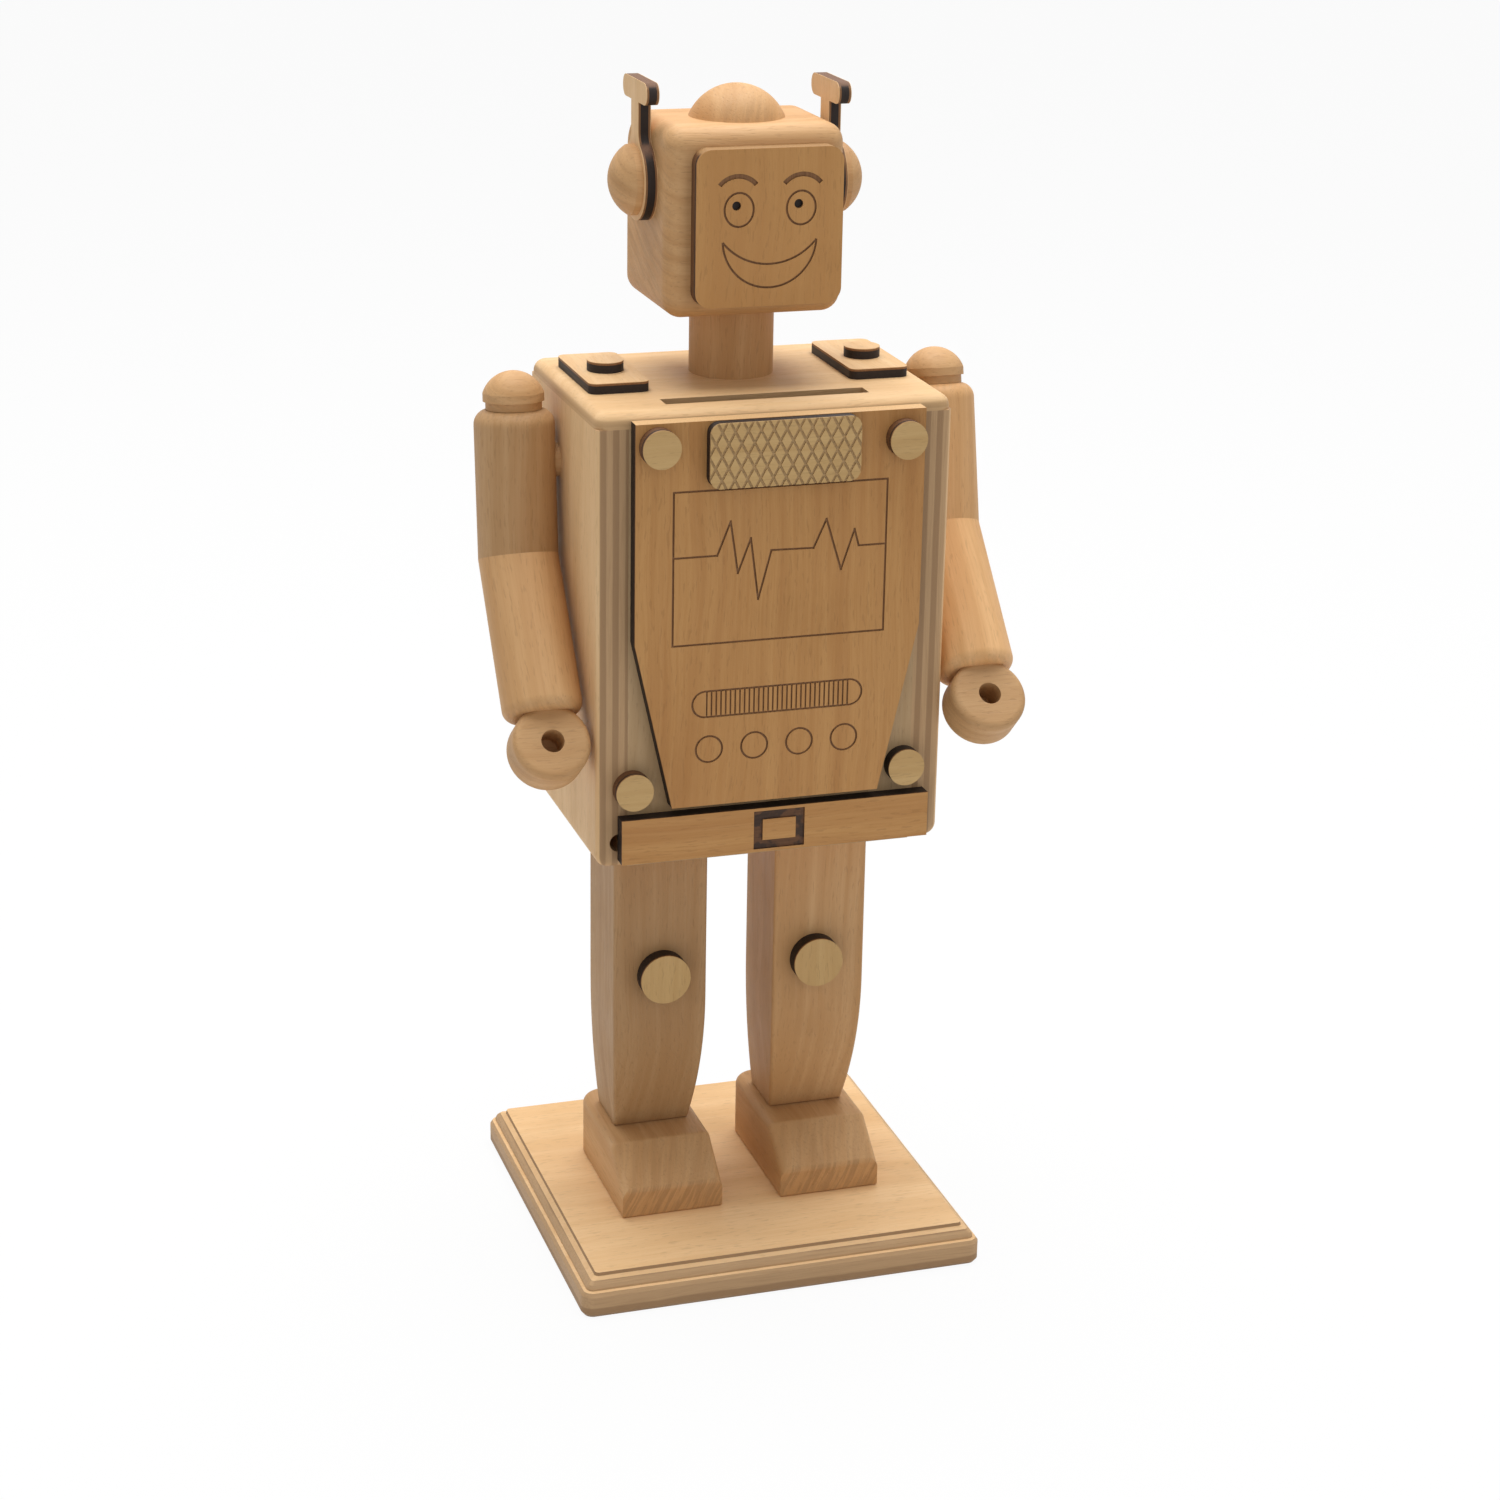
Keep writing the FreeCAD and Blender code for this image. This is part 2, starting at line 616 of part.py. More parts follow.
def face_plate():
    """The face: a plate with round corners, engraved with brows, round eyes and a smile."""
    front = HEAD_FRONT - FACE_T
    plate = block(FACE_X - FACE_W / 2, FACE_X + FACE_W / 2, front, HEAD_FRONT, FACE_BOTTOM, FACE_TOP)
    corners = edges_where(plate, lambda p, q: abs(p.x - q.x) < 1e-6 and abs(p.z - q.z) < 1e-6)
    plate = plate.makeFillet(FACE_R, corners)
    cutters = []
    for side in SIDES.values():
        eye_x = FACE_X + side * EYE_X
        rim = ellipse_prism(eye_x, EYE_Z, EYE_W + LINE_W, EYE_H + LINE_W, front, LINE_DEPTH)
        inside = ellipse_prism(eye_x, EYE_Z, EYE_W - LINE_W, EYE_H - LINE_W, front, LINE_DEPTH)
        cutters.append(rim.cut(inside))
        pupil = V(eye_x + PUPIL_DX, front - CUT, EYE_Z + PUPIL_DZ)
        cutters.append(rod(pupil, Y_AXIS, PUPIL_D, PUPIL_DEPTH + CUT))
        cutters.append(arc_groove(FACE_X + side * BROW_X, BROW_Z - BROW_RISE, BROW_HALF, BROW_RISE,
                                  BROW_W, LINE_DEPTH, front))
    for sagitta in (MOUTH_UPPER_SAG, MOUTH_LOWER_SAG):
        cutters.append(arc_groove(FACE_X, MOUTH_Z, MOUTH_HALF, -sagitta, LINE_W, LINE_DEPTH, front))
    return plate.cut(cutters)


def cap_face(radius, height, skirt):
    """Half the section of a button: a straight skirt under a round cap, with its axis on Z."""
    sphere = (radius ** 2 + height ** 2) / (2 * height)
    angle = math.asin(min(1.0, radius / sphere)) / 2
    crown = skirt + height
    middle = V(sphere * math.sin(angle), 0, crown - sphere + sphere * math.cos(angle))
    edges = [Part.Arc(V(radius, 0, skirt), middle, V(0, 0, crown)).toShape(),
             Part.makeLine(V(0, 0, crown), V(0, 0, 0)), Part.makeLine(V(0, 0, 0), V(radius, 0, 0))]
    if skirt > 0:
        edges.append(Part.makeLine(V(radius, 0, 0), V(radius, 0, skirt)))
    return outline_face(edges)


def head_dome():
    """The round cap on the top of the head."""
    dome = turned_dome(cap_face(DOME_D / 2, DOME_H, 0))
    dome.translate(V(0, DOME_Y, HEAD_TOP))
    return dome


def ear(side):
    """A turned button whose peg goes through the aerial plate into the head."""
    button = turned_dome(cap_face(EAR_D / 2, EAR_T - EAR_RIM, EAR_RIM))
    button = button.fuse(rod(V(0, 0, -EAR_PEG_L), Z_AXIS, EAR_PEG_D, EAR_PEG_L)).removeSplitter()
    button.rotate(V(0, 0, 0), Y_AXIS, side * 90)
    button.translate(V(side * (HEAD_W / 2 + AERIAL_T), EAR_Y, EAR_Z - ear_drop(side)))
    return button


def aerial(side):
    """A laser-cut T on a round base, held between an ear and the head."""
    inner = side * HEAD_W / 2 - (AERIAL_T if side < 0 else 0)
    base_z = EAR_Z - ear_drop(side)
    top = AERIAL_TOP - ear_drop(side)
    start = V(inner, EAR_Y, base_z)
    plate = rod(start, X_AXIS, AERIAL_BASE_D, AERIAL_T)
    half = AERIAL_STALK_W / 2
    bar_low = top - AERIAL_BAR_H
    stalk = block(inner, inner + AERIAL_T, EAR_Y - half, EAR_Y + half, base_z, bar_low + CUT)
    bar = block(inner, inner + AERIAL_T, EAR_Y - AERIAL_BAR_L / 2, EAR_Y + AERIAL_BAR_L / 2,
                bar_low, top)
    bar = bar.makeFillet(AERIAL_BAR_H / 2 - GLUE_FIT,
                         edges_where(bar, lambda p, q: abs(p.y - q.y) < 1e-6 and abs(p.z - q.z) < 1e-6))
    plate = plate.fuse([stalk, bar]).removeSplitter()

    def inner_corner(p, q):
        level = abs(p.y - q.y) < 1e-6 and abs(p.z - q.z) < 1e-6
        return level and abs(abs(p.y - EAR_Y) - half) < 1e-3 and p.z < bar_low - CUT

    plate = plate.makeFillet(AERIAL_FLARE_R, edges_where(plate, inner_corner))
    return plate.cut(rod(start - X_AXIS, X_AXIS, EAR_PEG_D + GLUE_FIT, AERIAL_T + 2))


def place_arm(shape, side):
    """Swing a piece of an arm about the shoulder and move it to its side."""
    placed = shape.copy()
    placed.rotate(V(0, 0, 0), X_AXIS, -(LEFT_SWING if side < 0 else RIGHT_SWING))
    placed.translate(V(side * ARM_X, SHOULDER_Y, SHOULDER_Z))
    return placed


ELBOW = V(0, 0, -UPPER_ARM_L)
BEND = math.radians(ELBOW_BEND)
FOREARM_DIR = V(0, -math.sin(BEND), -math.cos(BEND))
PALM_DIR = V(0, -math.cos(BEND), math.sin(BEND))
MITRE_DIR = V(0, math.sin(BEND / 2), math.cos(BEND / 2))
FOREARM_END = ELBOW + FOREARM_DIR * FOREARM_L


def half_space(point, normal):
    """A big block on one side of a plane."""
    size = 6 * ARM_D
    solid = Part.makeBox(size, size, size, V(-size / 2, -size / 2, 0))
    solid.Placement = FreeCAD.Placement(point, FreeCAD.Rotation(Z_AXIS, normal))
    return solid


def round_rims(shape, radius, point, normal):
    """Round the circular rim that lies in a plane."""
    rims = [e for e in shape.Edges if isinstance(e.Curve, Part.Circle)
            and abs((e.Curve.Center - point).dot(normal)) < 1e-6 and abs(e.Curve.Radius - ARM_D / 2) < 1e-6]
    return shape.makeFillet(radius, rims)


def elbow_dowel(play=0.0):
    """A dowel across the mitred elbow."""
    length = ELBOW_DOWEL_L + play
    return rod(ELBOW - MITRE_DIR * (length / 2), MITRE_DIR, ARM_DOWEL_D + play, length)


def wrist_dowel(play=0.0):
    """A dowel from the end of the forearm into the hand."""
    start = FOREARM_END - FOREARM_DIR * (WRIST_DOWEL_L - WRIST_IN_HAND + play)
    return rod(start, FOREARM_DIR, WRIST_DOWEL_D + play, WRIST_DOWEL_L + 2 * play)


def shoulder_pivot(side, play=0.0):
    """The dowel that an arm turns on, glued into the side of the chest."""
    start = V(side * INNER_HALF, SHOULDER_Y, SHOULDER_Z)
    length = ARM_X - ARM_D / 2 + PIVOT_IN_ARM - INNER_HALF
    return rod(start - V(side * play, 0, 0), V(side, 0, 0), PIVOT_D + play, length + 2 * play)


def upper_arm(side):
    """A round upper arm with a rounded top, mitred at the elbow and bored for its pivot."""
    top = V(0, 0, ARM_ABOVE)
    arm = rod(V(0, 0, -2 * UPPER_ARM_L), Z_AXIS, ARM_D, ARM_ABOVE + 2 * UPPER_ARM_L)
    arm = round_rims(arm, ARM_TOP_R, top, Z_AXIS).common(half_space(ELBOW, MITRE_DIR))
    arm = arm.cut(rod(V(-side * ARM_D, 0, 0), V(side, 0, 0), PIVOT_D + 2 * RUNNING_FIT,
                      ARM_D / 2 + PIVOT_IN_ARM + RUNNING_FIT * 4))
    arm = arm.cut(rod(top - V(0, 0, CAP_PEG_L + GLUE_FIT), Z_AXIS, CAP_PEG_D + GLUE_FIT, CAP_PEG_L + CUT))
    return place_arm(arm.cut(elbow_dowel(GLUE_FIT)), side)


def shoulder_cap(side):
    """A turned plug on the top of an arm: a peg, a short stem and a domed cap."""
    cap = turned_dome(cap_face(CAP_D / 2, CAP_H - CAP_STEM_H, CAP_STEM_H))
    cap.translate(V(0, 0, CAP_STEM_H))
    stem = rod(V(0, 0, 0), Z_AXIS, CAP_STEM_D, 2 * CAP_STEM_H)
    peg = rod(V(0, 0, -CAP_PEG_L), Z_AXIS, CAP_PEG_D, CAP_PEG_L + CAP_STEM_H)
    plug = cap.fuse([stem, peg]).removeSplitter()
    plug.translate(V(0, 0, ARM_ABOVE))
    return place_arm(plug, side)


def forearm(side):
    """A round forearm, mitred at the elbow, with its wrist end eased."""
    arm = rod(ELBOW - FOREARM_DIR * ARM_D, FOREARM_DIR, ARM_D, FOREARM_L + ARM_D)
    arm = round_rims(arm, FOREARM_END_R, FOREARM_END, FOREARM_DIR).cut(half_space(ELBOW, MITRE_DIR))
    return place_arm(arm.cut([elbow_dowel(GLUE_FIT), wrist_dowel(GLUE_FIT)]), side)


def hand(side):
    """A thick wheel with rounded rims and a blind hole in it, flat where it meets the forearm."""
    centre = FOREARM_END + FOREARM_DIR * HAND_CHORD
    wheel = rod(centre - PALM_DIR * (HAND_T / 2), PALM_DIR, HAND_D, HAND_T)
    wheel = wheel.makeFillet(HAND_R, [e for e in wheel.Edges if isinstance(e.Curve, Part.Circle)])
    bore_end = centre + PALM_DIR * (HAND_T / 2 - HAND_BORE_L)
    wheel = wheel.cut(rod(bore_end, PALM_DIR, HAND_BORE_D, HAND_BORE_L + CUT))
    wheel = wheel.cut([half_space(FOREARM_END, FOREARM_DIR * -1), wrist_dowel(GLUE_FIT)])
    return place_arm(wheel, side)


def money_bung():
    """A rubber stopper in the back: a flange outside, a hollow plug inside the hole."""
    plug = BUNG_D / 2 - RUNNING_FIT
    cup = BUNG_CUP_D / 2
    flange = BUNG_FLANGE_D / 2
    grip = BUNG_GRIP_D / 2
    profile = [(0, BUNG_CUP_DEPTH - BUNG_L), (cup, BUNG_CUP_DEPTH - BUNG_L), (cup, -BUNG_L),
               (plug - CUT, -BUNG_L), (plug, -BUNG_L + CUT), (plug, 0), (flange, 0),
               (flange, BUNG_FLANGE_T - CUT), (flange - CUT, BUNG_FLANGE_T),
               (grip + BUNG_GRIP_DEPTH, BUNG_FLANGE_T),
               (grip, BUNG_FLANGE_T - BUNG_GRIP_DEPTH), (0, BUNG_FLANGE_T - BUNG_GRIP_DEPTH)]
    return lathe(profile, V(0, CHEST_BACK, BUNG_Z), Y_AXIS)


def paired_nodes():
    """The pieces that come as a left one and a right one."""
    pieces = {}
    for name, side in SIDES.items():
        knee_x = side * KNEE_DISC_X + KNEE_DISC_SHIFT
        pieces[name + "_foot"] = foot(side)
        pieces[name + "_leg"] = leg(side)
        pieces[name + "_leg_dowel"] = leg_dowel(side)
        pieces[name + "_knee_disc"] = disc(knee_x, KNEE_DISC_Z, LEG_FRONT, KNEE_DISC_D, KNEE_DISC_T)
        pieces[name + "_side_panel"] = side_panel(side)
        upper_z = UPPER_DISC_Z + (UPPER_LEFT_RISE if side < 0 else 0)
        pieces["upper_" + name + "_disc"] = disc(side * UPPER_DISC_X, upper_z, PLATE_FRONT,
                                                 CHEST_DISC_D, CHEST_DISC_T)
        lower_x = side * LOWER_DISC_X + LOWER_DISC_SHIFT
        pieces["lower_" + name + "_disc"] = disc(lower_x, LOWER_DISC_Z, CHEST_FRONT,
                                                 CHEST_DISC_D, CHEST_DISC_T)
        pieces[name + "_shoulder_plate"] = shoulder_plate(side)
        pieces[name + "_shoulder_disc"] = shoulder_disc(side)
        pieces[name + "_ear"] = ear(side)
        pieces[name + "_aerial"] = aerial(side)
        pieces[name + "_shoulder_pivot"] = shoulder_pivot(side)
        pieces[name + "_upper_arm"] = upper_arm(side)
        pieces[name + "_shoulder_cap"] = shoulder_cap(side)
        pieces[name + "_elbow_dowel"] = place_arm(elbow_dowel(), side)
        pieces[name + "_forearm"] = forearm(side)
        pieces[name + "_wrist_dowel"] = place_arm(wrist_dowel(), side)
        pieces[name + "_hand"] = hand(side)
    return pieces


def single_nodes():
    """The pieces that there is one of, and the screws as one group."""
    screws = [screw(side * LEG_X, y) for side in SIDES.values() for y in SCREW_YS]
    return {
        "base_plate": base_plate(), "base_screws": Part.makeCompound(screws),
        "top_panel": top_panel(), "floor_panel": floor_panel(), "back_panel": back_panel(),
        "inner_front_board": inner_front_board(), "front_plate": front_plate(), "belt": belt(),
        "speaker_grille": speaker_grille(), "neck_post": neck_post(), "head_block": head_block(),
        "face_plate": face_plate(), "head_dome": head_dome(), "money_bung": money_bung(),
    }


os.makedirs("parts", exist_ok=True)
for node, shape in {**single_nodes(), **paired_nodes()}.items():
    shape.exportStep("parts/" + node + ".step")
    print(f"{node:24s} solids {len(shape.Solids)} valid {shape.isValid()} volume {shape.Volume:10.1f}")
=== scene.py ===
"""Finishes, light and camera for a wooden robot money box, laid out as an add-on."""

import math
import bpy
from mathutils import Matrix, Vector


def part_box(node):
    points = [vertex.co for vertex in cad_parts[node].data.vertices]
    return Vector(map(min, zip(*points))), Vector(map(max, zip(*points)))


bl_info = {
    "name": "Wooden robot money box",
    "version": (1, 0, 0),
    "blender": (4, 5, 0),
    "location": "View3D > Sidebar > Robot",
    "description": "Gives the wooden robot its wood, charred edges and ply, and sets its stage",
    "category": "Object",
}

import bpy
from mathutils import Matrix, Vector

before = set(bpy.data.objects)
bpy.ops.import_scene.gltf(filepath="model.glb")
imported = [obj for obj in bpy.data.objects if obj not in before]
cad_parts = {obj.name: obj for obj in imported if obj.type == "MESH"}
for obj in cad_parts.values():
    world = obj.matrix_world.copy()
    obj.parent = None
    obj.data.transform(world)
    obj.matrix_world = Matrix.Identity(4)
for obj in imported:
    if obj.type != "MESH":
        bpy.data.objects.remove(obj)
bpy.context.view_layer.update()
MM = 1000.0
X_AXIS = Vector((1, 0, 0))
Y_AXIS = Vector((0, 1, 0))
Z_AXIS = Vector((0, 0, 1))
WHITE = (1.0, 1.0, 1.0, 1.0)
# Painted light and shade: how much lighter or darker each limb's wood is made against the rest, standing in
# for how light falls on each side; the arms give upper arm, forearm and hand.
LEG_PAINTED_LIGHT = {"left": 0.72, "right": 0.95}
ARM_PAINTED_LIGHT = {"left": (0.80, 1.05, 0.94), "right": (1.14, 1.28, 0.88)}
# How strongly the grain stands out, how deep it is in metres, and how much wood and steel shine.
SOLID_BUMP = 0.22
PLY_BUMP = 0.20
GRAIN_RELIEF = 0.0003
WOOD_GLOSS = 0.35
STEEL_GLOSS = 0.5
# Stops say where something starts and ends to show, and then, if given, how much it shows there.
END_GRAIN_STOPS = (0.45, 0.85)
SAWN_STOPS = (0.40, 0.60)
PLY_FIBRE_STOPS = (0.4, 0.75, 0.0, 0.4)
ASH_STOPS = (0.35, 0.70, 0.0, 0.6)
BLOTCH_STOPS = (0.44, 0.58)
# Where a cut edge counts as facing up and takes the painted light of its top tone.
TOP_LIGHT_STOPS = (0.55, 0.85)
DUST_STOPS = (0.45, 0.75)
GRIT_STOPS = (0.3, 0.7, 0.55, 0.8)
# Where burning starts, turns to char and reaches a cut edge, as shares of the depths in the settings.
BURN_SPAN = (0.5, 1.5)
CHAR_SPAN = (0.9, 1.2)
RIM_SPAN = (2.1, 2.5)
# How far the layers of ply wander, as a share of a layer.
PLY_WANDER = 0.25
# The camera's sensor in mm, and the nearest thing it sees in metres.
SENSOR_WIDTH = 36.0
NEAREST = 0.01


def colour(name, description, default):
    """A colour that a user may change, written in linear light."""
    return bpy.props.FloatVectorProperty(name=name, description=description, default=default, size=3,
                                         subtype="COLOR", min=0.0, max=1.0)


def point(name, description, default):
    """A place in metres that a user may change."""
    return bpy.props.FloatVectorProperty(name=name, description=description, default=default, size=3,
                                         subtype="TRANSLATION")


class RobotWoodSettings(bpy.types.PropertyGroup):
    """Colours and sizes of the finishes."""
    solid_light: colour("Solid wood, light", "Early wood of the turned and sawn pieces", (0.63, 0.378, 0.178))
    solid_dark: colour("Solid wood, dark", "Late wood of the turned and sawn pieces", (0.52, 0.283, 0.114))
    veneer_light: colour("Veneer, light", "Face of the chest boards", (0.79, 0.535, 0.288))
    veneer_dark: colour("Veneer, dark", "Grain of the chest boards", (0.69, 0.435, 0.208))
    plate_light: colour("Plate, light", "Face of the laser-cut trim", (0.535, 0.277, 0.092))
    plate_dark: colour("Plate, dark", "Grain of the laser-cut trim", (0.435, 0.202, 0.059))
    ply_pale: colour("Ply, pale layer", "Long-grain layers in a board's edge", (0.46, 0.29, 0.155))
    ply_deep: colour("Ply, deep layer", "End-grain layers in a board's edge", (0.25, 0.14, 0.07))
    engraved: colour("Engraved line", "Floor of a burnt line", (0.275, 0.132, 0.052))
    disc_light: colour("Disc, light", "Face of the round trim", (0.59, 0.388, 0.165))
    disc_dark: colour("Disc, dark", "Grain of the round trim", (0.51, 0.315, 0.122))
    groove: colour("Grille groove", "Lightly burnt groove of the grille", (0.470, 0.300, 0.135))
    # Painted shade: the face plate's upward-facing edge takes this mid brown, so that light from above shows
    # no bright strip there.
    face_top_shade: colour("Top of the face", "Browned upper edge of the face plate", (0.330, 0.180, 0.068))
    scorched: colour("Scorched edge", "Edge browned by the laser, but not black", (0.135, 0.056, 0.020))
    char: colour("Charred edge", "Edge cut by the laser", (0.016, 0.008, 0.005))
    rubber: colour("Rubber", "Bung in the back", (0.022, 0.021, 0.020))
    steel: colour("Steel", "Screws under the base", (0.50, 0.49, 0.47))
    ply_layer: bpy.props.FloatProperty(
        name="Ply layer", description="Thickness of one layer of the boards, in mm",
        default=1.5, min=0.5, max=4.0)
    engrave_skin: bpy.props.FloatProperty(
        name="Engraving skin", description="Depth in mm where burning starts",
        default=0.12, min=0.02, max=0.5)
    engrave_depth: bpy.props.FloatProperty(
        name="Engraving depth", description="Depth in mm below which it is char",
        default=0.55, min=0.1, max=2.0)


class RobotStageSettings(bpy.types.PropertyGroup):
    """Camera, floor and light."""
    azimuth: bpy.props.FloatProperty(name="Azimuth", description="Camera's way round the robot",
                                     default=math.radians(-17.96), subtype="ANGLE")
    elevation: bpy.props.FloatProperty(name="Elevation", description="Camera's height above the horizon",
                                       default=math.radians(19.9), subtype="ANGLE")
    roll: bpy.props.FloatProperty(name="Roll", description="Tilt of the picture",
                                  default=math.radians(1.02), subtype="ANGLE")
    eye: point("Eye", "Where the camera stands", (-0.2248, -0.7074, 0.3920))
    lens: bpy.props.FloatProperty(name="Lens", description="Focal length in mm on a 36 mm sensor",
                                  default=77.2, min=10.0)
    overhead: bpy.props.FloatProperty(name="Overhead lamp", description="Power of the soft box above",
                                      default=12.2, unit="POWER")
    fill: bpy.props.FloatProperty(name="Fill lamp", description="Power of the soft box in front",
                                  default=0.85, unit="POWER")
    overhead_place: point("Overhead place", "Where the soft box above hangs", (0.04, 0.16, 1.1))
    fill_place: point("Fill place", "Where the soft box in front stands", (0.40, -1.1, 0.50))
    lamp_aim: point("Lamp aim", "What both soft boxes point at", (0.0, 0.0, 0.14))
    lamp_size: bpy.props.FloatProperty(name="Lamp size", description="Side of each soft box",
                                       default=0.9, unit="LENGTH")
    ambient: bpy.props.FloatProperty(name="Ambient", description="Strength of the even light", default=0.44)
    floor_reach: bpy.props.FloatProperty(name="Floor reach", description="Half of the floor's side",
                                         default=3.0, unit="LENGTH")
    floor_tone: colour("Floor", "Paper that the robot stands on", (0.86, 0.86, 0.86))
    floor_white: bpy.props.FloatProperty(name="Floor white", subtype="FACTOR", default=0.93,
                                         description="Share of plain white that the camera sees there")


class Value:
    """A shader socket that takes part in sums."""

    def __init__(self, shade, socket):
        self.shade = shade
        self.socket = socket

    def _math(self, operation, left, right):
        """One step of a sum."""
        return self.shade.node("ShaderNodeMath", {"operation": operation}, {0: left, 1: right})

    def __add__(self, other):
        return self._math("ADD", self, other)

    __radd__ = __add__

    def __sub__(self, other):
        return self._math("SUBTRACT", self, other)

    def __rsub__(self, other):
        return self._math("SUBTRACT", other, self)

    def __mul__(self, other):
        return self._math("MULTIPLY", self, other)

    __rmul__ = __mul__

    def __truediv__(self, other):
        return self._math("DIVIDE", self, other)

    def __rtruediv__(self, other):
        return self._math("DIVIDE", other, self)

    def __abs__(self):
        return self._math("ABSOLUTE", self, 0.0)


class Shade:
    """A material or a world under construction."""

    def __init__(self, name, store="materials", output="ShaderNodeOutputMaterial"):
        self.made = getattr(bpy.data, store).new(name)
        self.made.use_nodes = True
        self.tree = self.made.node_tree
        self.tree.nodes.clear()
        self.out = self.tree.nodes.new(output)

    def node(self, kind, settings=None, sockets=None, output=0):
        """Add a node: its settings first, then the values or links of its sockets."""
        made = self.tree.nodes.new(kind)
        for key, value in (settings or {}).items():
            setattr(made, key, value)
        for key, value in (sockets or {}).items():
            if isinstance(value, Value):
                self.tree.links.new(value.socket, made.inputs[key])
            else:
                made.inputs[key].default_value = value
        return Value(self, made.outputs[output])

    def surface(self, shader):
        """Join a shader to the output, and give what was made."""
        self.tree.links.new(shader.socket, self.out.inputs["Surface"])
        return self.made

    def position(self, scale=1.0):
        """The place on the object in mm, in the rest frame, times a scale."""
        place = self.node("ShaderNodeTexCoord", output="Object")
        return self.node("ShaderNodeVectorMath", {"operation": "SCALE"}, {0: place, "Scale": MM * scale})

    def turned_to(self, axis):
        """How far the surface looks along an axis, from -1 to 1."""
        normal = self.node("ShaderNodeTexCoord", output="Normal")
        return self.along(normal, axis)

    def facing(self, axis):
        """How squarely the surface lies across an axis, from 0 to 1."""
        return abs(self.turned_to(axis))

    def along(self, vector, axis):
        """How far a vector reaches along an axis."""
        return self.node("ShaderNodeVectorMath", {"operation": "DOT_PRODUCT"}, {0: vector, 1: axis}, "Value")

    def vector(self, x, y, z):
        """Three values as one vector."""
        return self.node("ShaderNodeCombineXYZ", None, {0: x, 1: y, 2: z})

    def noise(self, vector, detail=2.0, roughness=0.5):
        """Smooth noise, from 0 to 1."""
        return self.node("ShaderNodeTexNoise", None,
                         {"Vector": vector, "Scale": 1.0, "Detail": detail, "Roughness": roughness})

    def ramp(self, value, low, high, start=0.0, end=1.0):
        """A smooth step from start to end as a value goes from low to high."""
        return self.node("ShaderNodeMapRange", {"interpolation_type": "SMOOTHSTEP"},
                         {0: value, 1: low, 2: high, 3: start, 4: end})

    def mix(self, factor, low, high):
        """Blend two colours."""
        pair = [part if isinstance(part, Value) else (*part, 1.0) for part in (low, high)]
        return self.node("ShaderNodeMix", {"data_type": "RGBA"}, {0: factor, 6: pair[0], 7: pair[1]}, 2)

    def finish(self, base, roughness, height, bump, depth=GRAIN_RELIEF, gloss=WOOD_GLOSS, metallic=0.0):
        """Join colour, roughness and a bumped normal into one surface."""
        normal = self.node("ShaderNodeBump", None, {"Strength": bump, "Distance": depth, "Height": height})
        shader = self.node("ShaderNodeBsdfPrincipled", None,
                           {"Base Color": base, "Roughness": roughness, "Normal": normal,
                            "Specular IOR Level": gloss, "Metallic": metallic})
        return self.surface(shader)


